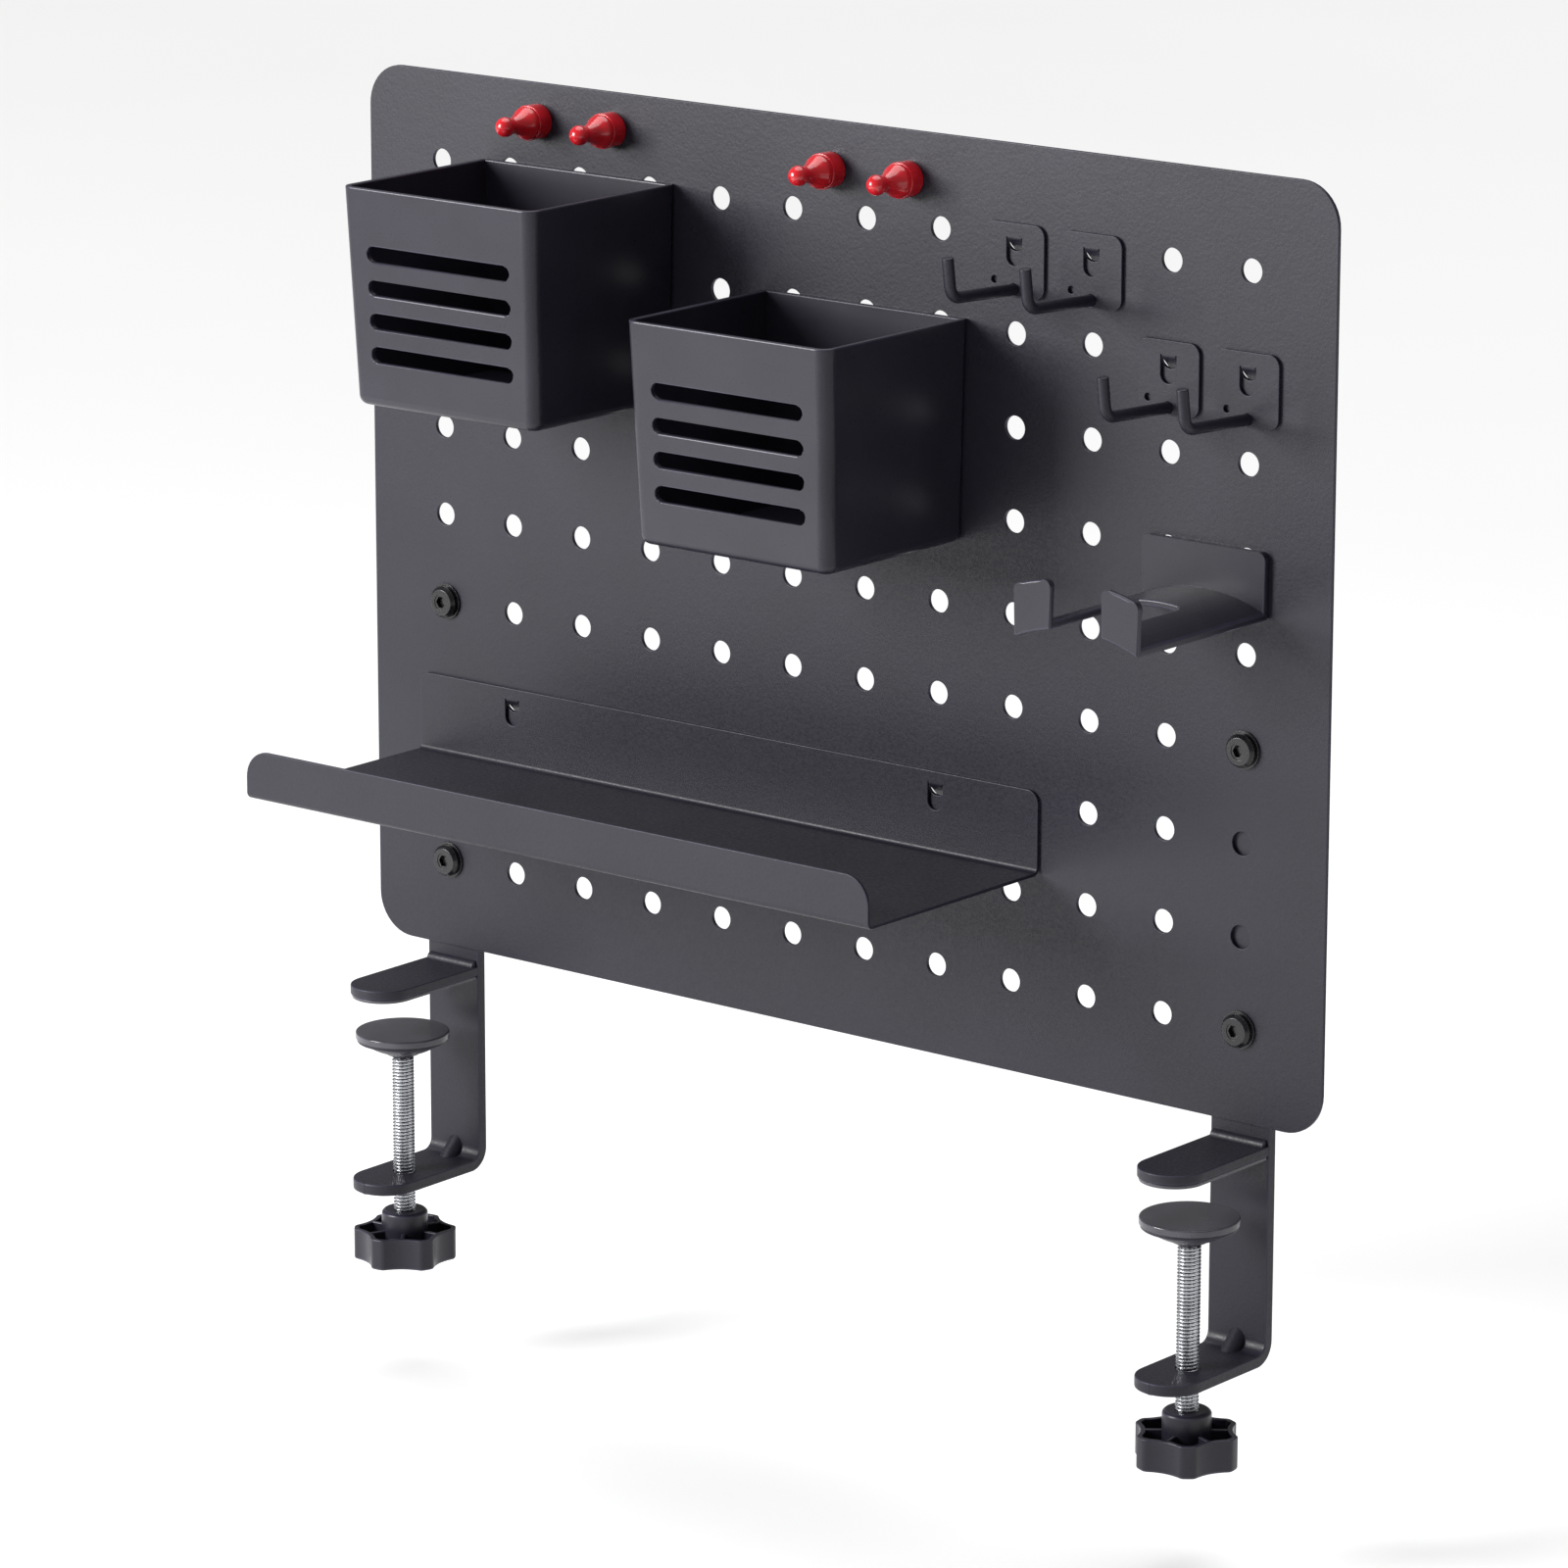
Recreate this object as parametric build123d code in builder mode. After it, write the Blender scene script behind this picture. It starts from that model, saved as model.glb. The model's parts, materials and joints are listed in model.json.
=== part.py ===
"""Clamp-on pegboard tool wall: a perforated steel panel held above a desk edge by two screw clamps,
with its pen cups, tray, hooks, headphone holder and pawn magnets.

Frame: the origin is on the desk top, at the middle of the desk's edge. +X runs to the right along the
edge, +Y points away from the desk, and +Z is up. The back of the panel and the front of the brackets lie
on y = 0, and the undersides of the jaw pads lie on z = 0. All sizes are in millimetres.
"""
from build123d import *
import os
from math import cos, sin, tan, radians, sqrt

os.makedirs("parts", exist_ok=True)

# ---- driving dimensions: panel ----
pitch = 32.0
columns = 12
rows = 9
panel_w = 420.0
panel_h = 320.0
panel_t = 1.5
panel_corner_r = 15.0
peg_hole_r = 4.1
panel_bottom_z = 11.4

# ---- driving dimensions: brackets and jaws ----
bracket_w = 24.0
bracket_t = 4.0
bend_r = 4.0
arm_top_z = -68.0
arm_reach = 49.5
bolt_rows = (5, 8)
bracket_hole_r = 3.3
gusset_r = 3.6
gusset_leg = 7.0
gusset_hollow_r = 2.0
gusset_hollow_length = 12.0
jaw_t = 3.5
jaw_pad_t = 1.2
jaw_pad_margin = 0.5
weld_leg = 2.2

# ---- driving dimensions: clamp screws ----
screw_y = -27.8
screw_r = 4.0
thread_clearance = 0.06
disc_top_z = -15.0
disc_pad_r = 17.0
disc_pad_t = 2.5
dish_r = 16.5
dish_rim_t = 1.2
dish_depth = 6.2
boss_r = 6.0
ball_r = 3.2
ball_depth = 6.2
neck_r = 2.2
socket_clearance = 0.3
shoulder_depth = 9.5
spigot_length = 6.0
spigot_clearance = 0.05
hub_top_z = -82.5
hub_r = 8.4
hub_h = 7.2
knob_r = 18.5
knob_valley_r = 15.5
knob_h = 11.5
knob_wall = 1.8
knob_floor = 2.4
knob_lobes = 6
knob_lobe_deg = 8.0
knob_lobe_round = 2.5
knob_rib_t = 1.4
knob_turns = {"left": -22.0, "right": -52.0}
fit_gap = 0.02

# ---- driving dimensions: bolts ----
bolt_r = 3.0
bolt_head_r = 5.8
bolt_head_h = 2.5
bolt_head_chamfer = 1.2
bolt_socket_af = 4.0
bolt_socket_depth = 1.8
bolt_dimple_r = 2.9
bolt_dimple_depth = 0.25
washer_r = 6.6
washer_t = 0.8
nut_af = 10.0
nut_h = 5.0
bolt_past_nut = 1.4

# ---- driving dimensions: how the accessories hang ----
sheet_t = 1.2
hang_gap = 0.1
lug_w = 5.6
lug_slope = 45.0
lug_tip_y = 4.2
lug_rest_gap = 0.08
lug_bend_r = 0.4
moulded_lug_t = 2.0
window_w = 6.4
window_h = 9.0
window_overlap = 1.0

# ---- driving dimensions: hooks ----
hook_plate = 25.0
hook_plate_r = 4.0
hook_plate_top = 5.5
hook_wire_r = 2.0
hook_wire_drop = 16.9
hook_reach = 34.0
hook_tip_rise = 15.6
hook_bend_r = 5.0
hook_rise_deg = 3.0
hook_lean_deg = 8.0
hook_tip_round = 0.5
hook_hole_r = 1.3
hook_hole_x = -8.2
hook_hole_drop = 14.3

# ---- driving dimensions: cups ----
cup_w = 87.5
cup_d = 75.5
cup_h = 77.0
cup_draft_w = 4.0
cup_draft_d = 4.0
cup_wall = 2.0
cup_front_r = 5.0
cup_back_r = 2.0
cup_foot_r = 3.5
cup_rim_above_holes = 2.8
slot_length = 65.0
slot_h = 5.5
slot_pitch = 11.8
slot_first_drop = 22.8

# ---- driving dimensions: tray ----
tray_left = -188.0
tray_right = 92.0
tray_depth = 93.0
tray_lip_h = 18.0
tray_back_h = 29.5
tray_top_above_holes = 4.6
tray_bend_r = 1.4
tray_lip_r = 10.0
tray_back_r = 4.5

# ---- driving dimensions: headphone holder ----
holder_w = 50.0
holder_plate_t = 2.5
holder_plate_top = 3.9
holder_plate_h = 20.2
holder_depth = 72.0
holder_arch_rise = 5.2
holder_shelf_t = 2.5
holder_lip_h = 14.0
holder_slot_w = 20.5
holder_web_depth = 27.0
holder_corner_r = 2.5

# ---- driving dimensions: pawn magnets ----
pawn_r = 6.2
pawn_base_h = 6.0
pawn_ring_r = 5.8
pawn_neck_r = 2.7
pawn_neck_y = 14.2
pawn_ball_r = 3.5
pawn_ball_y = 17.6
core_r = 5.0
core_h = 4.0
magnet_gap = 0.05

# ---- what hangs where: columns and rows of peg holes, and magnet centres ----
hook_places = ((8, 0), (9, 0), (10, 1), (11, 1))
cup_places = (("upper_pen_cup", 2, 0), ("lower_pen_cup", 6, 1))
tray_columns = (1, 7)
tray_row = 6
holder_columns = (10, 11)
holder_row = 3
magnet_places = ((-130.4, 317.9), (-96.5, 318.4), (0.9, 314.5), (34.5, 314.9))

# ---- places worked out from the driving dimensions ----
grid_z = panel_bottom_z + panel_h / 2
bracket_x = (columns - 1) / 2 * pitch
panel_front_y = -panel_t
hang_y = panel_front_y - hang_gap
jaw_top_z = jaw_pad_t + jaw_t
sides = (("left", -bracket_x), ("right", bracket_x))
# how far below the hole centres a bent lug leaves its plate
lug_root_drop = (
    sqrt(peg_hole_r**2 - (lug_w / 2) ** 2)
    - lug_rest_gap
    + (hang_y + lug_bend_r) * tan(radians(lug_slope))
    - (lug_bend_r + sheet_t) / cos(radians(lug_slope))
)


def column_x(column):
    """X of a column of peg holes, counted from 0 on the left."""
    return (column - (columns - 1) / 2) * pitch


def row_z(row):
    """Z of a row of peg holes, counted from 0 at the top."""
    return grid_z + ((rows - 1) / 2 - row) * pitch


def save(part, name):
    """Label a finished piece and write it as one STEP file."""
    part.label = name
    export_step(part, f"parts/{name}.step")


# ================= panel =================
with BuildPart() as pegboard_panel:
    with BuildSketch(Plane.XZ):
        with Locations((0, grid_z)):
            RectangleRounded(panel_w, panel_h, panel_corner_r)
            with GridLocations(pitch, pitch, columns, rows):
                Circle(peg_hole_r, mode=Mode.SUBTRACT)
    extrude(amount=panel_t)
save(pegboard_panel.part, "pegboard_panel")


# ================= brackets, jaws and jaw pads =================
def gusset_rib(x):
    """The rib pressed out of the bend: a round ridge running down at 45 degrees from strip to arm."""
    ridge = Plane(origin=(x, gusset_leg, arm_top_z + 2 * gusset_leg), x_dir=(1, 0, 0), z_dir=(0, -1, -1))
    with BuildPart() as rib:
        with BuildSketch(ridge):
            with Locations((0, -gusset_r)):
                Circle(gusset_r)
        extrude(amount=3 * gusset_leg * sqrt(2))
        with BuildSketch(Plane.XY.offset(arm_top_z)):
            with Locations((x, 0)):
                Rectangle(bracket_w, gusset_leg + 2, align=(Align.CENTER, Align.MAX))
        extrude(amount=gusset_leg + 2, mode=Mode.INTERSECT)
    return rib.part


def bracket_part(x):
    """A steel strip behind the panel, bent forwards at its foot into the arm for the clamp screw."""
    top_bolt_z = row_z(bolt_rows[0])
    arm_bottom_z = arm_top_z - bracket_t
    half = bracket_w / 2
    rib = gusset_rib(x)
    hollow_start = gusset_hollow_length / 2 / sqrt(2)
    outer_skin = (bend_r + bracket_t) / sqrt(2) - bend_r
    with BuildPart() as bracket:
        with BuildSketch(Plane.YZ.offset(x - half)):
            with BuildLine():
                Line((-arm_reach, arm_bottom_z), (-arm_reach, arm_top_z))
                Line((-arm_reach, arm_top_z), (-bend_r, arm_top_z))
                RadiusArc((-bend_r, arm_top_z), (0, arm_top_z + bend_r), -bend_r)
                Line((0, arm_top_z + bend_r), (0, top_bolt_z + half))
                Line((0, top_bolt_z + half), (bracket_t, top_bolt_z + half))
                Line((bracket_t, top_bolt_z + half), (bracket_t, arm_top_z + bend_r))
                RadiusArc((bracket_t, arm_top_z + bend_r), (-bend_r, arm_bottom_z), bend_r + bracket_t)
                Line((-bend_r, arm_bottom_z), (-arm_reach, arm_bottom_z))
            make_face()
        extrude(amount=bracket_w)
        fillet(bracket.edges().filter_by(Axis.Y).group_by(Axis.Z)[-1], half - 0.05)
        fillet(bracket.edges().filter_by(Axis.Z).group_by(Axis.Y)[0], half - 0.05)
        add(rib)
        # the hollow behind the rib, on the outside of the bend
        with BuildSketch(
            Plane(
                origin=(x, outer_skin + hollow_start, arm_top_z - outer_skin + hollow_start),
                x_dir=(1, 0, 0),
                z_dir=(0, -1, -1),
            )
        ):
            Circle(gusset_hollow_r)
        extrude(amount=gusset_hollow_length, mode=Mode.SUBTRACT)
        with BuildSketch(Plane.XY.offset(arm_top_z)):
            with Locations((x, screw_y)):
                Circle(screw_r + thread_clearance)
        extrude(amount=-bracket_t, mode=Mode.SUBTRACT)
        with BuildSketch(Plane.XZ):
            with Locations(*[(x, row_z(row)) for row in bolt_rows]):
                Circle(bracket_hole_r)
        extrude(amount=-bracket_t, mode=Mode.SUBTRACT)
    return bracket.part


def jaw_part(x):
    """The fixed upper jaw: a round-ended plate welded to the front of the bracket, with its weld bead."""
    half = bracket_w / 2
    with BuildPart() as jaw:
        with BuildSketch(Plane.XY.offset(jaw_pad_t)):
            with Locations((x, 0)):
                Rectangle(bracket_w, arm_reach, align=(Align.CENTER, Align.MAX))
            fillet(vertices().group_by(Axis.Y)[0], half - 0.05)
        extrude(amount=jaw_t)
        with BuildSketch(Plane.YZ.offset(x - half + 1)):
            with BuildLine():
                Line((0, jaw_top_z), (0, jaw_top_z + weld_leg))
                RadiusArc((0, jaw_top_z + weld_leg), (-weld_leg, jaw_top_z), -weld_leg)
                Line((-weld_leg, jaw_top_z), (0, jaw_top_z))
            make_face()
        extrude(amount=bracket_w - 2)
        chamfer(jaw.faces().sort_by(Axis.Z)[0].edges(), 0.3)
    return jaw.part


def jaw_pad_part(x):
    """The thin rubber pad glued under the upper jaw; its underside rests on the desk top."""
    width = bracket_w - 2 * jaw_pad_margin
    with BuildPart() as pad:
        with BuildSketch():
            with Locations((x, -jaw_pad_margin)):
                Rectangle(width, arm_reach - 2 * jaw_pad_margin, align=(Align.CENTER, Align.MAX))
            fillet(vertices().group_by(Axis.Y)[0], width / 2 - 0.05)
        extrude(amount=jaw_pad_t)
    return pad.part


for side, x in sides:
    save(bracket_part(x), f"{side}_bracket")
    save(jaw_part(x), f"{side}_upper_jaw")
    save(jaw_pad_part(x), f"{side}_jaw_pad")


# ================= clamp screws =================
def disc_pad_part(x):
    """The rubber face of a swivel disc."""
    with BuildPart() as pad:
        with BuildSketch(Plane.XY.offset(disc_top_z - disc_pad_t)):
            with Locations((x, screw_y)):
                Circle(disc_pad_r)
        extrude(amount=disc_pad_t)
        fillet(pad.faces().sort_by(Axis.Z)[-1].edges(), 0.6)
    return pad.part


def dish_part(x):
    """The dished steel plate under the pad, with the ball socket in its boss."""
    rim_z = disc_top_z - disc_pad_t
    boss_z = rim_z - dish_depth
    ball_z = disc_top_z - ball_depth
    socket_r = ball_r + socket_clearance
    mouth_r = neck_r + 2.2 * socket_clearance
    mouth_z = ball_z - sqrt(socket_r**2 - mouth_r**2)
    axis_line = Axis((x, screw_y, 0), (0, 0, 1))
    plane = Plane(origin=(x, screw_y, 0), x_dir=(1, 0, 0), z_dir=(0, -1, 0))
    with BuildPart() as dish:
        with BuildSketch(plane):
            with BuildLine():
                Polyline((0, boss_z), (0, rim_z), (dish_r, rim_z), (dish_r, rim_z - dish_rim_t))
                Line((dish_r, rim_z - dish_rim_t), (dish_r - 1.5, rim_z - dish_rim_t))
                RadiusArc((dish_r - 1.5, rim_z - dish_rim_t), (boss_r + 1, boss_z + 0.8), 24)
                Line((boss_r + 1, boss_z + 0.8), (boss_r, boss_z))
                Line((boss_r, boss_z), (0, boss_z))
            make_face()
        revolve(axis=axis_line)
        with BuildSketch(plane):
            with BuildLine():
                Polyline((0, mouth_z), (0, rim_z), (socket_r, rim_z), (socket_r, ball_z))
                RadiusArc((socket_r, ball_z), (mouth_r, mouth_z), socket_r)
                Line((mouth_r, mouth_z), (0, mouth_z))
            make_face()
            with BuildLine():
                Polyline((0, mouth_z), (mouth_r, mouth_z), (mouth_r + 0.3, boss_z), (0, boss_z), close=True)
            make_face()
        revolve(axis=axis_line, mode=Mode.SUBTRACT)
    return dish.part


def ball_tip_part(x):
    """The ball on its neck, with the spigot that sits in the end of the screw."""
    ball_z = disc_top_z - ball_depth
    shoulder_z = disc_top_z - shoulder_depth
    with BuildPart() as tip:
        with BuildSketch(Plane.XY.offset(shoulder_z - spigot_length)):
            with Locations((x, screw_y)):
                Circle(neck_r)
        extrude(amount=ball_z - shoulder_z + spigot_length)
        with Locations((x, screw_y, ball_z)):
            Sphere(ball_r)
    return tip.part


def screw_part(x):
    """The M8 screw, drilled at the top for the ball's spigot."""
    top_z = disc_top_z - shoulder_depth
    bottom_z = hub_top_z - hub_h - knob_h + knob_floor
    with BuildPart() as screw:
        with BuildSketch(Plane.XY.offset(bottom_z)):
            with Locations((x, screw_y)):
                Circle(screw_r)
        extrude(amount=top_z - bottom_z)
        chamfer(screw.edges().group_by(Axis.Z)[-1], 0.8)
        with BuildSketch(Plane.XY.offset(top_z)):
            with Locations((x, screw_y)):
                Circle(neck_r + spigot_clearance)
        extrude(amount=-spigot_length - spigot_clearance, mode=Mode.SUBTRACT)
    return screw.part


def star_outline(inset):
    """The knob's six-lobed outline about the origin, drawn in by `inset`; one lobe points along +X."""
    lobe = radians(180 / knob_lobes - knob_lobe_deg)
    reach = knob_r * cos(lobe) - knob_valley_r
    scallop_r = (reach**2 + (knob_r * sin(lobe)) ** 2) / (2 * reach)
    with BuildSketch(Plane.XY) as star:
        Circle(knob_r - inset)
        with PolarLocations(knob_valley_r + scallop_r, knob_lobes, start_angle=180 / knob_lobes):
            Circle(scallop_r + inset, mode=Mode.SUBTRACT)
        fillet(star.vertices(), knob_lobe_round - inset)
    return star.sketch


def pocket_outlines():
    """The six pockets between the knob's outer wall, its hub and its ribs, about the origin."""
    with BuildSketch(Plane.XY) as pockets:
        add(star_outline(knob_wall))
        Circle(hub_r, mode=Mode.SUBTRACT)
        with PolarLocations(0, knob_lobes, start_angle=180 / knob_lobes):
            Rectangle(knob_r, knob_rib_t, align=(Align.MIN, Align.CENTER), mode=Mode.SUBTRACT)
    return pockets.sketch


def knob_part(x, turn):
    """A six-lobed star knob: hub, ribs and an outer wall standing on a closed floor, open at the top."""
    bottom_z = hub_top_z - hub_h - knob_h
    with BuildPart() as knob:
        with Locations(Location((x, screw_y, bottom_z), (0, 0, turn))):
            add(star_outline(0))
        extrude(amount=knob_h)
        chamfer(knob.faces().sort_by(Axis.Z)[0].edges(), 0.5)
        with Locations(Location((x, screw_y, bottom_z + knob_floor), (0, 0, turn))):
            add(pocket_outlines())
        extrude(amount=knob_h, mode=Mode.SUBTRACT)
        with BuildSketch(Plane(origin=(x, screw_y, bottom_z), x_dir=(1, 0, 0), z_dir=(0, -1, 0))):
            with BuildLine():
                Polyline(
                    (0, knob_floor / 2),
                    (hub_r, knob_floor / 2),
                    (hub_r, knob_h + hub_h - 1),
                    (hub_r - 1, knob_h + hub_h),
                    (0, knob_h + hub_h),
                    close=True,
                )
            make_face()
        revolve(axis=Axis((x, screw_y, 0), (0, 0, 1)))
        with BuildSketch(Plane.XY.offset(bottom_z + knob_floor)):
            with Locations((x, screw_y)):
                Circle(screw_r + fit_gap)
        extrude(amount=knob_h + hub_h, mode=Mode.SUBTRACT)
    return knob.part


for side, x in sides:
    save(disc_pad_part(x), f"{side}_disc_pad")
    save(dish_part(x), f"{side}_swivel_dish")
    save(ball_tip_part(x), f"{side}_ball_tip")
    save(screw_part(x), f"{side}_clamp_screw")
    save(knob_part(x, knob_turns[side]), f"{side}_knob")


# ================= panel bolts, washers and nuts =================
bolt_places = [(x, row_z(row)) for side, x in sides for row in bolt_rows]
washer_y = panel_front_y - washer_t
bolt_tip_y = bracket_t + nut_h + bolt_past_nut

with BuildPart() as panel_bolts:
    with BuildSketch(Plane.XZ.offset(-washer_y)):
        with Locations(*bolt_places):
            Circle(bolt_head_r)
    extrude(amount=bolt_head_h)
    chamfer(panel_bolts.edges().group_by(Axis.Y)[0], bolt_head_chamfer)
    with BuildSketch(Plane.XZ.offset(-washer_y)):
        with Locations(*bolt_places):
            Circle(bolt_r)
    extrude(amount=washer_y - bolt_tip_y)
    chamfer(panel_bolts.edges().group_by(Axis.Y)[-1], 0.5)
    with BuildSketch(Plane.XZ.offset(-washer_y + bolt_head_h)):
        with Locations(*bolt_places):
            Circle(bolt_dimple_r)
    extrude(amount=-bolt_dimple_depth, mode=Mode.SUBTRACT)
    with BuildSketch(Plane.XZ.offset(-washer_y + bolt_head_h)):
        with Locations(*bolt_places):
            RegularPolygon(bolt_socket_af / 2, 6, major_radius=False)
    extrude(amount=-bolt_socket_depth, mode=Mode.SUBTRACT)
save(panel_bolts.part, "panel_bolts")

with BuildPart() as bolt_washers:
    with BuildSketch(Plane.XZ.offset(-panel_front_y)):
        with Locations(*bolt_places):
            Circle(washer_r)
            Circle(bolt_r + fit_gap, mode=Mode.SUBTRACT)
    extrude(amount=washer_t)
save(bolt_washers.part, "bolt_washers")

with BuildPart() as bolt_nuts:
    with BuildSketch(Plane.XZ.offset(-bracket_t)):
        with Locations(*bolt_places):
            RegularPolygon(nut_af / 2, 6, major_radius=False)
            Circle(bolt_r + fit_gap, mode=Mode.SUBTRACT)
    extrude(amount=-nut_h)
save(bolt_nuts.part, "bolt_nuts")


# ================= hanging lugs =================
def lug_line_z(hole_z, y):
    """Height of a lug's lower face at y; its two edges clear the hole's rear rim by a hair."""
    rim_z = hole_z - sqrt(peg_hole_r**2 - (lug_w / 2) ** 2) + lug_rest_gap
    return rim_z - y * tan(radians(lug_slope))


def round_lug_tip(lug):
    """Round the free end of a lug in its own plane."""
    end_face = lug.faces().filter_by(GeomType.PLANE).sort_by(Axis.Y)[-1]
    fillet(end_face.edges().filter_by(Axis.X, reverse=True), lug_w / 2 - 0.05)


def moulded_lug(x, hole_z, thickness):
    """A plastic lug that slopes down and back from a plate's rear face through a peg hole.

    It lies along the direction in which the accessory lifts off: up and forwards.
    """
    slope = radians(lug_slope)
    root_y = hang_y - thickness / 2
    across = (thickness * sin(slope), thickness * cos(slope))
    root = (root_y, lug_line_z(hole_z, root_y))
    tip = (lug_tip_y, lug_line_z(hole_z, lug_tip_y))
    with BuildPart() as lug:
        with BuildSketch(Plane.YZ.offset(x - lug_w / 2)):
            with BuildLine():
                Polyline(
                    root,
                    tip,
                    (tip[0] + across[0], tip[1] + across[1]),
                    (root[0], root[1] + thickness / cos(slope)),
                    close=True,
                )
            make_face()
        extrude(amount=lug_w)
        round_lug_tip(lug)
    return lug.part


def bent_lug(x, hole_z):
    """A sheet lug, bent back out of a window in its plate to the same slope as the moulded lugs."""
    slope = radians(lug_slope)
    front_y = hang_y - sheet_t
    outer_r = lug_bend_r + sheet_t
    centre = (hang_y + lug_bend_r, hole_z - lug_root_drop)
    outer_end = (centre[0] - outer_r * sin(slope), centre[1] - outer_r * cos(slope))
    inner_end = (centre[0] - lug_bend_r * sin(slope), centre[1] - lug_bend_r * cos(slope))
    tip = (lug_tip_y, lug_line_z(hole_z, lug_tip_y))
    with BuildPart() as lug:
        with BuildSketch(Plane.YZ.offset(x - lug_w / 2)):
            with BuildLine():
                Polyline(
                    (hang_y, centre[1]),
                    (hang_y, hole_z + window_overlap),
                    (front_y, hole_z + window_overlap),
                    (front_y, centre[1]),
                )
                CenterArc(centre, outer_r, 180, 90 - lug_slope)
                Polyline(
                    outer_end,
                    tip,
                    (tip[0] + sheet_t * sin(slope), tip[1] + sheet_t * cos(slope)),
                    inner_end,
                )
                CenterArc(centre, lug_bend_r, 180, 90 - lug_slope)
            make_face()
        extrude(amount=lug_w)
        round_lug_tip(lug)
    return lug.part


def lug_window(x, hole_z):
    """The round-footed window that a bent lug is cut out of."""
    with BuildPart() as window:
        with BuildSketch(Plane.XZ.offset(-hang_y)):
            with Locations((x, hole_z - window_h + window_w / 2)):
                Circle(window_w / 2)
                Rectangle(
                    window_w, window_h - window_w / 2 - lug_root_drop, align=(Align.CENTER, Align.MIN)
                )
        extrude(amount=sheet_t)
    return window.part


# ================= hooks =================
def hook_plate_part(column, row):
    """A square sheet plate with a bent lug, its window, and a small hole in the lower left corner."""
    x = column_x(column)
    z = row_z(row)
    plate_z = z + hook_plate_top - hook_plate / 2
    with BuildPart() as plate:
        with BuildSketch(Plane.XZ.offset(-hang_y)):
            with Locations((x, plate_z)):
                RectangleRounded(hook_plate, hook_plate, hook_plate_r)
            with Locations((x + hook_hole_x, z - hook_hole_drop)):
                Circle(hook_hole_r, mode=Mode.SUBTRACT)
            with Locations((x, z - hook_wire_drop)):
                Circle(hook_wire_r + fit_gap, mode=Mode.SUBTRACT)
        extrude(amount=sheet_t)
        add(lug_window(x, z), mode=Mode.SUBTRACT)
        add(bent_lug(x, z))
    return plate.part


def hook_prong_part(column, row):
    """The bent wire prong: out from the plate, then up, its tip leaning outwards and rounded."""
    x = column_x(column)
    root_z = row_z(row) - hook_wire_drop
    rise = radians(hook_rise_deg)
    lean = radians(hook_lean_deg)
    front_y = hang_y - sheet_t
    corner = (x, front_y - hook_reach, root_z + hook_reach * tan(rise))
    up = hook_tip_rise - hook_reach * tan(rise)
    tip = (x, corner[1] - up * tan(lean), corner[2] + up)
    with BuildPart() as prong:
        with BuildLine() as wire:
            FilletPolyline((x, front_y, root_z), corner, tip, radius=hook_bend_r)
        with BuildSketch(Plane(origin=wire.line @ 0, x_dir=(1, 0, 0), z_dir=wire.line % 0)):
            Circle(hook_wire_r)
        sweep(path=wire.line)
        with BuildSketch(Plane.XZ.offset(-hang_y)):
            with Locations((x, root_z)):
                Circle(hook_wire_r)
        extrude(amount=sheet_t)
        fillet(prong.edges().group_by(Axis.Z)[-1], hook_tip_round)
    return prong.part


for number, (column, row) in enumerate(hook_places, start=1):
    save(hook_plate_part(column, row), f"hook_plate_{number}")
    save(hook_prong_part(column, row), f"hook_prong_{number}")


# ================= pen cups =================
def cup_section(inset, drop):
    """The cup's plan outline `drop` below its rim, drawn in by `inset` all round."""
    share = drop / cup_h
    width = cup_w - cup_draft_w * share - 2 * inset
    depth = cup_d - cup_draft_d * share - 2 * inset
    with BuildSketch(Plane.XY) as outline:
        with Locations((0, -inset)):
            Rectangle(width, depth, align=(Align.CENTER, Align.MAX))
        fillet(outline.vertices().group_by(Axis.Y)[0], cup_front_r - inset)
    return outline.sketch


def cup_part(column, row):
    """A tapered, open-topped pen cup with a straight back, four front slots and two hanging lugs."""
    x = column_x(column)
    rim_z = row_z(row) + cup_rim_above_holes
    top = Location((x, hang_y, rim_z))
    foot = Location((x, hang_y, rim_z - cup_h))
    inner_foot = Location((x, hang_y, rim_z - cup_h + cup_wall))
    with BuildPart() as cup:
        add(cup_section(0, 0).moved(top))
        add(cup_section(0, cup_h).moved(foot))
        loft()
        foot_edges = cup.faces().sort_by(Axis.Z)[0].edges()
        fillet(foot_edges.sort_by(Axis.Y)[:-1], cup_foot_r)
        back_edges = cup.faces().sort_by(Axis.Y)[-1].edges()
        fillet(back_edges.filter_by(lambda edge: edge.bounding_box().size.Z > cup_h / 2), cup_back_r)
        add(cup_section(cup_wall, 0).moved(top))
        add(cup_section(cup_wall, cup_h - cup_wall).moved(inner_foot))
        loft(mode=Mode.SUBTRACT)
        with BuildSketch(Plane.XZ.offset(-hang_y + cup_d / 2)):
            with Locations((x, rim_z - slot_first_drop - 1.5 * slot_pitch)):
                with GridLocations(0, slot_pitch, 1, 4):
                    SlotOverall(slot_length, slot_h)
        extrude(amount=cup_d, mode=Mode.SUBTRACT)
        for lug_x in (x - pitch, x + pitch):
            add(moulded_lug(lug_x, row_z(row), moulded_lug_t))
    return cup.part


for name, column, row in cup_places:
    save(cup_part(column, row), name)


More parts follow.
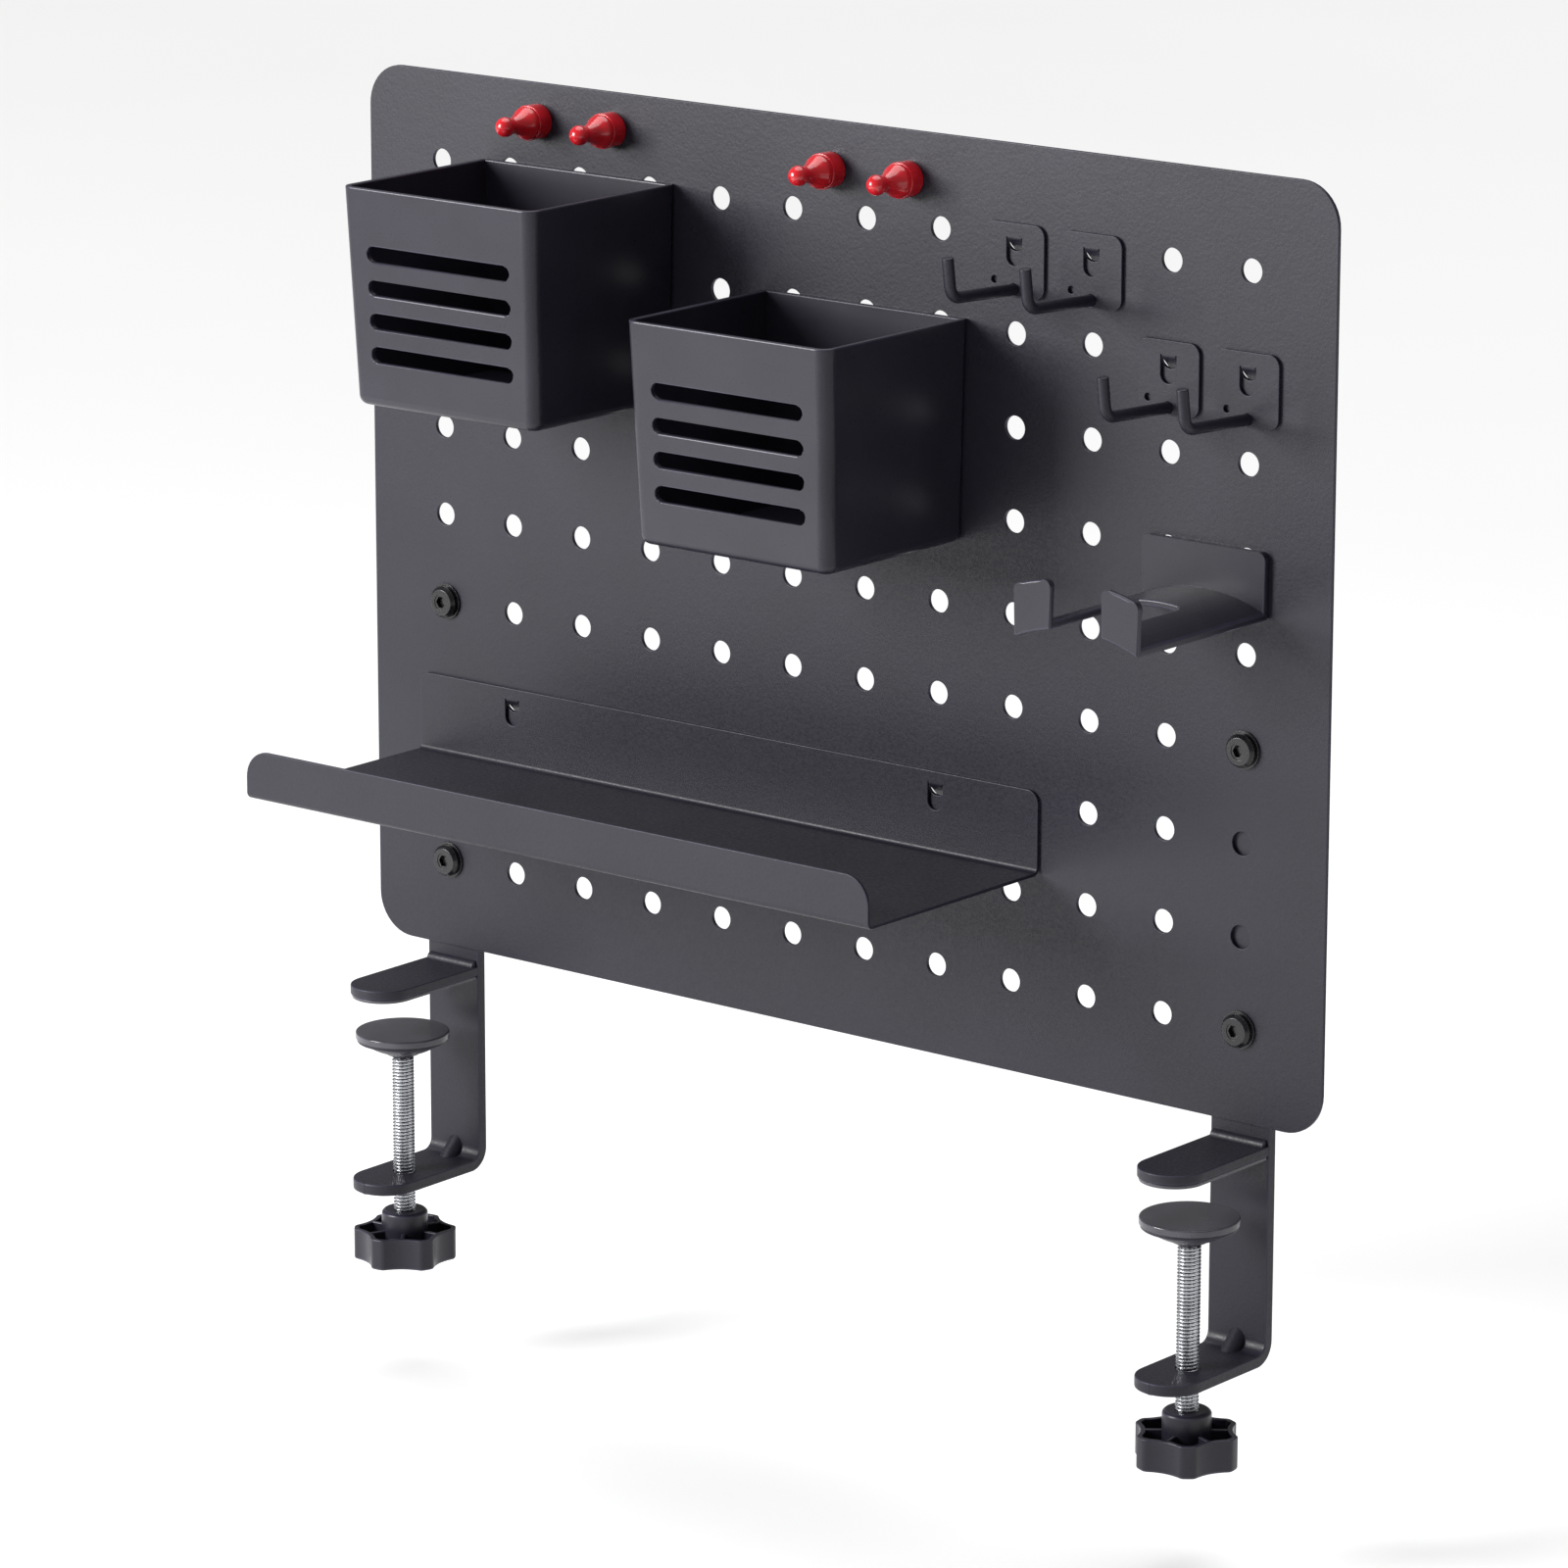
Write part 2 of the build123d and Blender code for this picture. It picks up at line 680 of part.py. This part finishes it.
# ================= tray =================
def tray_part():
    """A sheet tray: back plate, flat floor and raised front lip, with two bent lugs and their windows."""
    x = (tray_left + tray_right) / 2
    width = tray_right - tray_left
    hole_z = row_z(tray_row)
    top_z = hole_z + tray_top_above_holes
    floor_z = top_z - tray_back_h
    front_y = hang_y - tray_depth
    inner_r = tray_bend_r
    outer_r = tray_bend_r + sheet_t
    with BuildPart() as tray:
        with BuildSketch(Plane.YZ.offset(tray_left)) as profile:
            with Locations((hang_y, floor_z)):
                Rectangle(tray_depth, tray_back_h, align=(Align.MAX, Align.MIN))
            fillet(profile.vertices().group_by(Axis.Y)[0], outer_r)
            with Locations((front_y - 1, floor_z + tray_lip_h)):
                Rectangle(sheet_t + 2, tray_back_h, align=(Align.MIN, Align.MIN), mode=Mode.SUBTRACT)
        extrude(amount=width)
        with BuildSketch(Plane.YZ.offset(tray_left)) as channel:
            with Locations((hang_y - sheet_t, floor_z + sheet_t)):
                Rectangle(tray_depth - 2 * sheet_t, tray_back_h, align=(Align.MAX, Align.MIN))
            fillet(channel.vertices().group_by(Axis.Y)[0], inner_r)
        extrude(amount=width, mode=Mode.SUBTRACT)
        upper_ends = tray.edges().filter_by(Axis.Y).filter_by(lambda edge: edge.length < 2 * sheet_t)
        fillet(upper_ends.filter_by(lambda edge: edge.center().Z > top_z - 1), tray_back_r)
        fillet(upper_ends.filter_by(lambda edge: edge.center().Z < top_z - 1), tray_lip_r)
        for column in tray_columns:
            add(lug_window(column_x(column), hole_z), mode=Mode.SUBTRACT)
            add(bent_lug(column_x(column), hole_z))
    return tray.part


save(tray_part(), "tray")


# ================= headphone holder =================
def headphone_holder_part():
    """An arched shelf on a short back plate, split at the front into two prongs with upturned ends."""
    x = (column_x(holder_columns[0]) + column_x(holder_columns[1])) / 2
    hole_z = row_z(holder_row)
    plate_top_z = hole_z + holder_plate_top
    plate_foot_z = plate_top_z - holder_plate_h
    half = holder_w / 2
    arch_r = (half**2 + holder_arch_rise**2) / (2 * holder_arch_rise)
    arch_z = plate_foot_z + holder_arch_rise - arch_r
    front_y = hang_y - holder_depth
    with BuildPart() as holder:
        with BuildSketch(Plane.XZ.offset(-hang_y)):
            with Locations((x, plate_foot_z - 1)):
                Rectangle(holder_w, holder_plate_h + 1, align=(Align.CENTER, Align.MIN))
            fillet(vertices().group_by(Axis.Y)[-1], holder_corner_r)
            with Locations((x, arch_z)):
                Circle(arch_r - holder_shelf_t / 2, mode=Mode.SUBTRACT)
        extrude(amount=holder_plate_t)
        with BuildSketch(Plane.XZ.offset(-hang_y)):
            with Locations((x, arch_z)):
                Circle(arch_r)
                Circle(arch_r - holder_shelf_t, mode=Mode.SUBTRACT)
            with Locations((x, arch_z)):
                Rectangle(holder_w, 2 * arch_r, align=(Align.CENTER, Align.MIN), mode=Mode.INTERSECT)
        extrude(amount=holder_depth)
        with BuildSketch(Plane.XZ.offset(-front_y)):
            with Locations((x, arch_z)):
                Circle(arch_r + holder_lip_h)
                Circle(arch_r - holder_shelf_t, mode=Mode.SUBTRACT)
            with Locations((x, arch_z)):
                Rectangle(holder_w, 2 * arch_r, align=(Align.CENTER, Align.MIN), mode=Mode.INTERSECT)
        extrude(amount=-holder_plate_t)
        with BuildSketch(Plane.XY.offset(plate_foot_z - holder_plate_h)):
            with Locations((x, hang_y - holder_web_depth)):
                Rectangle(holder_slot_w, holder_depth, align=(Align.CENTER, Align.MAX))
            fillet(vertices().group_by(Axis.Y)[-1], holder_corner_r)
        extrude(amount=3 * holder_plate_h, mode=Mode.SUBTRACT)
        front_edges = holder.edges().filter_by(Axis.Y).group_by(Axis.Y)[0]
        lip_top_z = max(edge.center().Z for edge in front_edges)
        lip_edges = front_edges.filter_by(lambda edge: edge.center().Z > lip_top_z - holder_lip_h / 2)
        fillet(lip_edges, holder_corner_r)
        for column in holder_columns:
            add(moulded_lug(column_x(column), hole_z, moulded_lug_t))
    return holder.part


save(headphone_holder_part(), "headphone_holder")


# ================= pawn magnets =================
def magnet_body_part(x, z):
    """A pawn-shaped plastic body turned about an axis square to the panel, with a pocket for its magnet."""
    rest_y = panel_front_y - magnet_gap
    with BuildPart() as body:
        with BuildSketch(Plane(origin=(x, rest_y, z), x_dir=(1, 0, 0), z_dir=(0, 0, 1))):
            with BuildLine():
                Polyline((0, 0), (pawn_r, 0), (pawn_r, -pawn_base_h), (pawn_ring_r, -pawn_base_h))
                Line((pawn_ring_r, -pawn_base_h), (pawn_ring_r, -pawn_base_h - 0.5))
                Spline(
                    (pawn_ring_r, -pawn_base_h - 0.5),
                    (pawn_ring_r - 1.1, -pawn_base_h - 3.2),
                    (pawn_neck_r, -pawn_neck_y),
                    tangents=((0.05, -1), (-0.25, -1)),
                )
                Line((pawn_neck_r, -pawn_neck_y), (pawn_neck_r, -pawn_ball_y))
                Line((pawn_neck_r, -pawn_ball_y), (0, -pawn_ball_y))
                Line((0, -pawn_ball_y), (0, 0))
            make_face()
        revolve(axis=Axis((x, rest_y, z), (0, 1, 0)))
        with Locations((x, rest_y - pawn_ball_y, z)):
            Sphere(pawn_ball_r)
        with BuildSketch(Plane.XZ.offset(-rest_y)):
            with Locations((x, z)):
                Circle(core_r + fit_gap)
        extrude(amount=core_h, mode=Mode.SUBTRACT)
    return body.part


def magnet_core_part(x, z):
    """The magnet disc in the foot of a pawn."""
    with BuildPart() as core:
        with BuildSketch(Plane.XZ.offset(magnet_gap - panel_front_y)):
            with Locations((x, z)):
                Circle(core_r)
        extrude(amount=core_h)
        chamfer(core.edges().filter_by(GeomType.CIRCLE), 0.3)
    return core.part


for number, (x, z) in enumerate(magnet_places, start=1):
    save(magnet_body_part(x, z), f"magnet_body_{number}")
    save(magnet_core_part(x, z), f"magnet_core_{number}")
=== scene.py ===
import json
import math

import bmesh
import bpy
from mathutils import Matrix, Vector


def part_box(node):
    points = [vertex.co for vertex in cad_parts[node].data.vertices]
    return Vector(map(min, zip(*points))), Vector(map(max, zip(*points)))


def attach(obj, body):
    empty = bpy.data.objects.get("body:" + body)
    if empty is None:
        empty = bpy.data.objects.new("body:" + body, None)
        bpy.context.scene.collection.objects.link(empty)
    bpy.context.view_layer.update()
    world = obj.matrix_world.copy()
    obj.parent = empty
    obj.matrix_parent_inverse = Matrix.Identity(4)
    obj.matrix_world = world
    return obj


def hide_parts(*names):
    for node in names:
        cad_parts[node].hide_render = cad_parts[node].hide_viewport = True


MM = 0.001
# the floor lies just below the knobs at the bottom of their travel; the lights aim at the object's middle
FLOOR_Z = -0.139
FLOOR_SIZE = 60
TARGET = (0.0, 0.0, 0.12)
WORLD_STRENGTH = 0.22

# thread profile, as shares of the pitch measured from the middle of the crest
CREST_HALF = 0.125
FLANK = 0.31
# past GROOVE_START the faces are painted darker as shade in the groove
GROOVE_START = 0.36
# the rod's ends taper over this length, and its crests stay this far inside the CAD rod
END_TAPER_MM = 0.8
THREAD_PLAY_MM = 0.01

# faces that turn by less than this are one flat face; points closer than this are one point
FLAT_DEG = 0.4
WELD = 1e-6
# edges shorter than this many rounding radii belong to fine curves and stay sharp
SHORT_EDGE = 0.7
CAMERA_LENS = 167.0331
CAMERA_LOCATION = (1.529809, -1.903297, 0.713594)
CAMERA_TURN_DEG = (75.88188, -0.05267, 39.18132)

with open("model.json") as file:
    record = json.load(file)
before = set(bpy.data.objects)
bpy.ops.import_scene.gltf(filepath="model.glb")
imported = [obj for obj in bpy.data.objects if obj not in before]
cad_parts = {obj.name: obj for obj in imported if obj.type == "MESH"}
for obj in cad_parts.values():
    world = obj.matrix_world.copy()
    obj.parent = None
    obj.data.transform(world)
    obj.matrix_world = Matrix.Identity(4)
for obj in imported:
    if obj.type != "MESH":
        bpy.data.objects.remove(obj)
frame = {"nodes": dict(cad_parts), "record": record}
record = frame["record"]
slot_of = {entry["node"]: entry["material_slot"] for entry in record["subparts"]}
body_of = {node: body for body, nodes in record["behaviour"]["bodies"].items() for node in nodes}
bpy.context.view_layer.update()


# ---------------------------------------------------------------- materials
def new_material(name, colour, roughness, metallic=0.0):
    """A Principled material with object-space texture coordinates to hang detail on."""
    material = bpy.data.materials.new(name)
    material.use_nodes = True
    tree = material.node_tree
    shader = tree.nodes["Principled BSDF"]
    shader.inputs["Base Color"].default_value = (*colour, 1)
    shader.inputs["Roughness"].default_value = roughness
    shader.inputs["Metallic"].default_value = metallic
    place = tree.nodes.new("ShaderNodeTexCoord")
    return material, tree, shader, place.outputs["Object"]


def noise(tree, where, period_mm, detail=2.0, stretch=(1, 1, 1)):
    """Noise whose features are about period_mm across."""
    mapping = tree.nodes.new("ShaderNodeMapping")
    mapping.inputs["Scale"].default_value = tuple(s * 1000 / period_mm for s in stretch)
    tree.links.new(where, mapping.inputs["Vector"])
    node = tree.nodes.new("ShaderNodeTexNoise")
    node.inputs["Scale"].default_value = 1.0
    node.inputs["Detail"].default_value = detail
    tree.links.new(mapping.outputs["Vector"], node.inputs["Vector"])
    return node.outputs["Fac"]


def ramp(tree, value, stops):
    """Value through a colour ramp; stops are (position, colour)."""
    node = tree.nodes.new("ShaderNodeValToRGB")
    elements = node.color_ramp.elements
    elements[0].position, elements[0].color = stops[0][0], (*stops[0][1], 1)
    elements[1].position, elements[1].color = stops[-1][0], (*stops[-1][1], 1)
    for position, colour in stops[1:-1]:
        element = elements.new(position)
        element.color = (*colour, 1)
    tree.links.new(value, node.inputs["Fac"])
    return node.outputs["Color"]


def spread(tree, value, low, high):
    """Value between 0.3 and 0.7, where noise mostly lies, mapped to low..high."""
    node = tree.nodes.new("ShaderNodeMapRange")
    node.inputs["From Min"].default_value = 0.3
    node.inputs["From Max"].default_value = 0.7
    node.inputs["To Min"].default_value = low
    node.inputs["To Max"].default_value = high
    tree.links.new(value, node.inputs["Value"])
    return node.outputs["Result"]


def bump(tree, shader, layers):
    """Bump from several (height, depth in mm) layers, one after another."""
    normal = None
    for height, depth_mm in layers:
        node = tree.nodes.new("ShaderNodeBump")
        node.inputs["Strength"].default_value = 1.0
        node.inputs["Distance"].default_value = depth_mm * MM
        tree.links.new(height, node.inputs["Height"])
        if normal is not None:
            tree.links.new(normal, node.inputs["Normal"])
        normal = node.outputs["Normal"]
    tree.links.new(normal, shader.inputs["Normal"])


def scaled(colour, factor):
    return tuple(c * factor for c in colour)


def powder_coat(name="powder_coat", lightness=1.0):
    colour = scaled((0.0118, 0.0110, 0.0190), lightness)
    material, tree, shader, where = new_material(name, colour, 0.5)
    grain = noise(tree, where, 1.15, 2.5)
    peel = noise(tree, where, 3.2, 2.0)
    cloud = noise(tree, where, 38.0, 3.0)
    base = ramp(tree, cloud, [(0.3, scaled(colour, 0.88)), (0.5, colour), (0.7, scaled(colour, 1.15))])
    tree.links.new(base, shader.inputs["Base Color"])
    tree.links.new(spread(tree, grain, 0.38, 0.52), shader.inputs["Roughness"])
    shader.inputs["Specular IOR Level"].default_value = 0.35
    bump(tree, shader, [(grain, 0.06), (peel, 0.035)])
    return material


def rubber():
    colour = (0.0520, 0.0500, 0.0620)
    material, tree, shader, where = new_material("rubber", colour, 0.25)
    grain = noise(tree, where, 0.5, 3.0)
    bloom = noise(tree, where, 9.0, 4.0)
    base = ramp(tree, bloom, [(0.3, scaled(colour, 0.85)), (0.7, scaled(colour, 1.3))])
    tree.links.new(base, shader.inputs["Base Color"])
    tree.links.new(spread(tree, bloom, 0.17, 0.28), shader.inputs["Roughness"])
    bump(tree, shader, [(grain, 0.006), (bloom, 0.05)])
    return material


def zinc_steel(name="zinc_steel", lightness=1.0):
    colour = scaled((0.70, 0.71, 0.74), lightness)
    material, tree, shader, where = new_material(name, colour, 0.24, 1.0)
    streak = noise(tree, where, 0.5, 4.0, (1, 1, 0.25))
    patch = noise(tree, where, 6.0, 3.0)
    base = ramp(tree, patch, [(0.3, scaled(colour, 0.82)), (0.5, colour), (0.7, scaled(colour, 1.08))])
    tree.links.new(base, shader.inputs["Base Color"])
    tree.links.new(spread(tree, streak, 0.16, 0.32), shader.inputs["Roughness"])
    bump(tree, shader, [(streak, 0.008)])
    return material


def black_plastic(name="black_plastic", lightness=1.0):
    colour = scaled((0.0165, 0.0155, 0.0240), lightness)
    material, tree, shader, where = new_material(name, colour, 0.34)
    grain = noise(tree, where, 0.45, 2.0)
    flow = noise(tree, where, 26.0, 2.0)
    base = ramp(tree, flow, [(0.3, scaled(colour, 0.88)), (0.7, scaled(colour, 1.15))])
    tree.links.new(base, shader.inputs["Base Color"])
    tree.links.new(spread(tree, grain, 0.27, 0.39), shader.inputs["Roughness"])
    shader.inputs["Specular IOR Level"].default_value = 0.35
    bump(tree, shader, [(grain, 0.010), (flow, 0.05)])
    return material


def black_bolt(name="black_bolt", lightness=1.0):
    colour = scaled((0.0060, 0.0060, 0.0070), lightness)
    material, tree, shader, where = new_material(name, colour, 0.22)
    streak = noise(tree, where, 0.6, 3.0)
    base = ramp(tree, streak, [(0.3, scaled(colour, 0.8)), (0.7, scaled(colour, 1.5))])
    tree.links.new(base, shader.inputs["Base Color"])
    tree.links.new(spread(tree, streak, 0.15, 0.34), shader.inputs["Roughness"])
    shader.inputs["Specular IOR Level"].default_value = 0.38
    bump(tree, shader, [(streak, 0.016)])
    return material


def red_plastic():
    colour = (0.50, 0.0080, 0.0160)
    material, tree, shader, where = new_material("red_plastic", colour, 0.22)
    flow = noise(tree, where, 5.0, 2.0)
    fine = noise(tree, where, 0.8, 2.0)
    base = ramp(tree, flow, [(0.3, scaled(colour, 0.88)), (0.7, (0.57, 0.012, 0.020))])
    tree.links.new(base, shader.inputs["Base Color"])
    tree.links.new(spread(tree, fine, 0.17, 0.27), shader.inputs["Roughness"])
    shader.inputs["Coat Weight"].default_value = 0.35
    shader.inputs["Coat Roughness"].default_value = 0.12
    bump(tree, shader, [(flow, 0.03), (fine, 0.003)])
    return material


def nickel():
    colour = (0.70, 0.68, 0.64)
    material, tree, shader, where = new_material("nickel", colour, 0.18, 1.0)
    lapping = noise(tree, where, 0.7, 3.0)
    base = ramp(tree, lapping, [(0.3, scaled(colour, 0.9)), (0.7, colour)])
    tree.links.new(base, shader.inputs["Base Color"])
    tree.links.new(spread(tree, lapping, 0.12, 0.26), shader.inputs["Roughness"])
    bump(tree, shader, [(lapping, 0.004)])
    return material


materials = {
    "powder_coat": powder_coat(),
    "rubber": rubber(),
    "zinc_steel": zinc_steel(),
    "black_plastic": black_plastic(),
    "black_bolt": black_bolt(),
    "red_plastic": red_plastic(),
    "nickel": nickel(),
}
# coats, mouldings and bolt heads get a lighter copy of their material on their rounded edges: a painted
# highlight for the light those edges catch
edge_highlight_materials = {
    "powder_coat": powder_coat("powder_coat_edge_highlight", 2.2),
    "black_plastic": black_plastic("black_plastic_edge_highlight", 2.2),
    "black_bolt": black_bolt("black_bolt_edge_highlight", 5.0),
}
# painted shade: a far darker copy of the zinc for the faces deep in the thread's grooves
groove_shade_material = zinc_steel("thread_groove_painted_shade", 0.16)


# ---------------------------------------------------------------- pieces


def mesh_piece(name, build, node, smooth_deg=30.0):
    """A new piece from a bmesh, standing for a CAD node, with its slot, material and body."""
    data = bpy.data.meshes.new(name)
    build.to_mesh(data)
    build.free()
    piece = bpy.data.objects.new(name, data)
    bpy.context.scene.collection.objects.link(piece)
    piece.data.materials.append(materials[slot_of[node]])
    for polygon in data.polygons:
        polygon.use_smooth = True
    data.set_sharp_from_angle(angle=math.radians(smooth_deg))
    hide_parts(node)
    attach(piece, body_of[node])
    return piece


def flat_regions(build, least_mm2=10.0):
    """Number of the flat region that each face lies in, or None for a face of a curved surface."""
    limit = math.radians(FLAT_DEG)
    region_of = {}
    normals = []
    for first in build.faces:
        if first in region_of:
            continue
        number = len(normals)
        region_of[first] = number
        members = [first]
        for face in members:
            for edge in face.edges:
                for other in edge.link_faces:
                    if other not in region_of and face.normal.angle(other.normal, 0.0) < limit:
                        region_of[other] = number
                        members.append(other)
        area_mm2 = sum(face.calc_area() for face in members) / MM**2
        normals.append(first.normal.copy() if area_mm2 >= least_mm2 else None)
    return {face: number for face, number in region_of.items() if normals[number] is not None}, normals


def smooth_fan(face, vertex, limit):
    """The faces round a vertex that join on to this face with no sharp edge between them."""
    fan = [face]
    for member in fan:
        for edge in member.edges:
            if vertex not in edge.verts or len(edge.link_faces) != 2:
                continue
            for other in edge.link_faces:
                if other not in fan and member.normal.angle(other.normal, 0.0) < limit:
                    fan.append(other)
    return fan


def settle_normals(piece, smooth_deg=38.0):
    """Apply the modifiers, then shade flat faces flat and run curved ones smoothly into them."""
    bpy.context.view_layer.update()
    graph = bpy.context.evaluated_depsgraph_get()
    data = bpy.data.meshes.new_from_object(piece.evaluated_get(graph))
    piece.modifiers.clear()
    piece.data = data
    build = bmesh.new()
    build.from_mesh(data)
    build.normal_update()
    limit = math.radians(smooth_deg)
    region_of, region_normals = flat_regions(build)
    corner_normals = []
    for face in build.faces:
        for vertex in face.verts:
            if face in region_of:
                corner_normals.append(region_normals[region_of[face]])
                continue
            fan = smooth_fan(face, vertex, limit)
            flats = {region_of[member] for member in fan if member in region_of}
            if flats:
                total = sum((region_normals[number] for number in flats), Vector())
            else:
                total = sum((member.normal * member.calc_area() for member in fan), Vector())
            corner_normals.append(total.normalized() if total.length > 0 else face.normal)
    build.free()
    data.normals_split_custom_set([tuple(normal) for normal in corner_normals])


def soft_edged(node, radius_mm, segments=3, angle_deg=28.0):
    """The CAD node again, with its sharp edges rounded over as paint or a mould leaves them."""
    build = bmesh.new()
    build.from_mesh(frame["nodes"][node].data)
    bmesh.ops.remove_doubles(build, verts=build.verts, dist=WELD)
    bmesh.ops.dissolve_limit(
        build, angle_limit=math.radians(FLAT_DEG), verts=build.verts, edges=build.edges, delimit={"NORMAL"}
    )
    build.normal_update()
    weight = build.edges.layers.float.new("bevel_weight_edge")
    facing = math.copysign(1.0, build.calc_volume(signed=True))
    for edge in build.edges:
        outward = edge.is_manifold and facing * edge.calc_face_angle_signed(0.0) > math.radians(angle_deg)
        if outward and edge.calc_length() > SHORT_EDGE * radius_mm * MM:
            edge[weight] = 1.0
    piece = mesh_piece(node + "_finished", build, node, 50.0)
    bevel = piece.modifiers.new("rounded", "BEVEL")
    bevel.width = radius_mm * MM
    bevel.segments = segments
    bevel.limit_method = "WEIGHT"
    bevel.use_clamp_overlap = False
    # the bevel's rounded faces take the lighter copy, a painted edge highlight
    if slot_of[node] in edge_highlight_materials:
        piece.data.materials.append(edge_highlight_materials[slot_of[node]])
        bevel.material = 1
    settle_normals(piece)
    return piece


def thread_radius(turn, root_mm, crest_mm):
    """Radius of an ISO-like thread at a share of one turn along its pitch."""
    climb = min(1.0, max(0.0, (abs(turn - 0.5) - CREST_HALF) / FLANK))
    return crest_mm - (crest_mm - root_mm) * climb


def threaded_rod(node, pitch_mm=1.25, root_mm=3.2):
    """A rod with a real helical thread cut into it, inside the CAD rod's cylinder."""
    low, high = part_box(node)
    axis = (low + high) / 2
    crest_mm = (high.x - low.x) / 2 / MM - THREAD_PLAY_MM
    sides = 48
    steps = 12
    rise = pitch_mm * MM / steps
    count = int((high.z - low.z) / rise)
    build = bmesh.new()
    rings = []
    for level in range(count + 1):
        z = low.z + (high.z - low.z) * level / count
        from_end = min(z - low.z, high.z - z) / MM
        end_limit = crest_mm - max(0.0, END_TAPER_MM - from_end)
        ring = []
        for side in range(sides):
            angle = 2 * math.pi * side / sides
            turn = ((z - low.z) / (pitch_mm * MM) - side / sides) % 1.0
            radius = min(thread_radius(turn, root_mm, crest_mm), end_limit) * MM
            ring.append(
                build.verts.new((axis.x + radius * math.cos(angle), axis.y + radius * math.sin(angle), z))
            )
        rings.append(ring)
    for level, (lower, upper) in enumerate(zip(rings, rings[1:])):
        z = (level + 0.5) / count * (high.z - low.z)
        for side in range(sides):
            after = (side + 1) % sides
            face = build.faces.new((lower[side], lower[after], upper[after], upper[side]))
            turn = (z / (pitch_mm * MM) - (side + 0.5) / sides) % 1.0
            # faces deep in the groove take the darkened zinc as painted shade
            face.material_index = 1 if abs(turn - 0.5) > GROOVE_START else 0
    build.faces.new(list(reversed(rings[0])))
    build.faces.new(rings[-1])
    piece = mesh_piece(node + "_thread", build, node, 55.0)
    piece.data.materials.append(groove_shade_material)
    return piece


for node in ("left_clamp_screw", "right_clamp_screw"):
    threaded_rod(node)

# how far each piece's outer edges are rounded, by part of its node's name
EDGE_MM = {
    "pegboard_panel": 0.25,
    "bracket": 0.5,
    "upper_jaw": 0.4,
    "jaw_pad": 0.2,
    "disc_pad": 0.2,
    "swivel_dish": 0.25,
    "knob": 0.4,
    "panel_bolts": 0.12,
    "bolt_washers": 0.12,
    "bolt_nuts": 0.3,
    "tray": 0.28,
    "pen_cup": 0.5,
    "hook_plate": 0.25,
    "headphone_holder": 0.8,
    "magnet_body": 0.2,
}
for node in sorted(frame["nodes"]):
    for part_name, radius_mm in EDGE_MM.items():
        if part_name in node:
            soft_edged(node, radius_mm)

# the CAD's own meshes: the prongs, ball tips and magnet cores are shown as they are
for node, obj in frame["nodes"].items():
    obj.data.materials.clear()
    obj.data.materials.append(materials[slot_of[node]])


# ---------------------------------------------------------------- floor, light and camera
def stage_floor(z):
    bpy.ops.mesh.primitive_plane_add(size=FLOOR_SIZE, location=(0, 0, z))
    floor = bpy.context.object
    floor.name = "floor"
    material, tree, shader, where = new_material("pale_floor", (0.90, 0.90, 0.90), 0.9)
    cloud = noise(tree, where, 900.0, 2.0)
    base = ramp(tree, cloud, [(0.3, (0.88, 0.88, 0.88)), (0.7, (0.91, 0.91, 0.91))])
    tree.links.new(base, shader.inputs["Base Color"])
    shader.inputs["Specular IOR Level"].default_value = 0.1
    floor.data.materials.append(material)


def place_light(name, data, location):
    light = bpy.data.objects.new(name, data)
    bpy.context.scene.collection.objects.link(light)
    light.location = location
    light.rotation_euler = (Vector(TARGET) - Vector(location)).to_track_quat("-Z", "Y").to_euler()


def area_light(name, location, size, power):
    data = bpy.data.lights.new(name, "AREA")
    data.shape = "RECTANGLE"
    data.size, data.size_y = size
    data.energy = power
    place_light(name, data, location)


def sky_light(name, location, strength, spread_deg):
    data = bpy.data.lights.new(name, "SUN")
    data.energy = strength
    data.angle = math.radians(spread_deg)
    place_light(name, data, location)


stage_floor(FLOOR_Z)
world = bpy.data.worlds.new("studio")
world.use_nodes = True
world.node_tree.nodes["Background"].inputs["Color"].default_value = (1, 1, 1, 1)
world.node_tree.nodes["Background"].inputs["Strength"].default_value = WORLD_STRENGTH
bpy.context.scene.world = world
bpy.context.scene.view_settings.view_transform = "Standard"
sky_light("overhead", location=(-0.3, 0.4, 2.5), strength=2.5, spread_deg=60.0)
area_light("key", location=(-0.83, -1.15, 0.62), size=(0.6, 0.6), power=31)

camera = bpy.data.cameras.new("camera")
camera.lens = CAMERA_LENS
camera.sensor_width = 36.0
camera.clip_start = 0.05
camera.clip_end = 100.0
camera_object = bpy.data.objects.new("camera", camera)
bpy.context.scene.collection.objects.link(camera_object)
camera_object.location = CAMERA_LOCATION
camera_object.rotation_euler = tuple(math.radians(turn) for turn in CAMERA_TURN_DEG)
bpy.context.scene.camera = camera_object

bpy.context.view_layer.update()
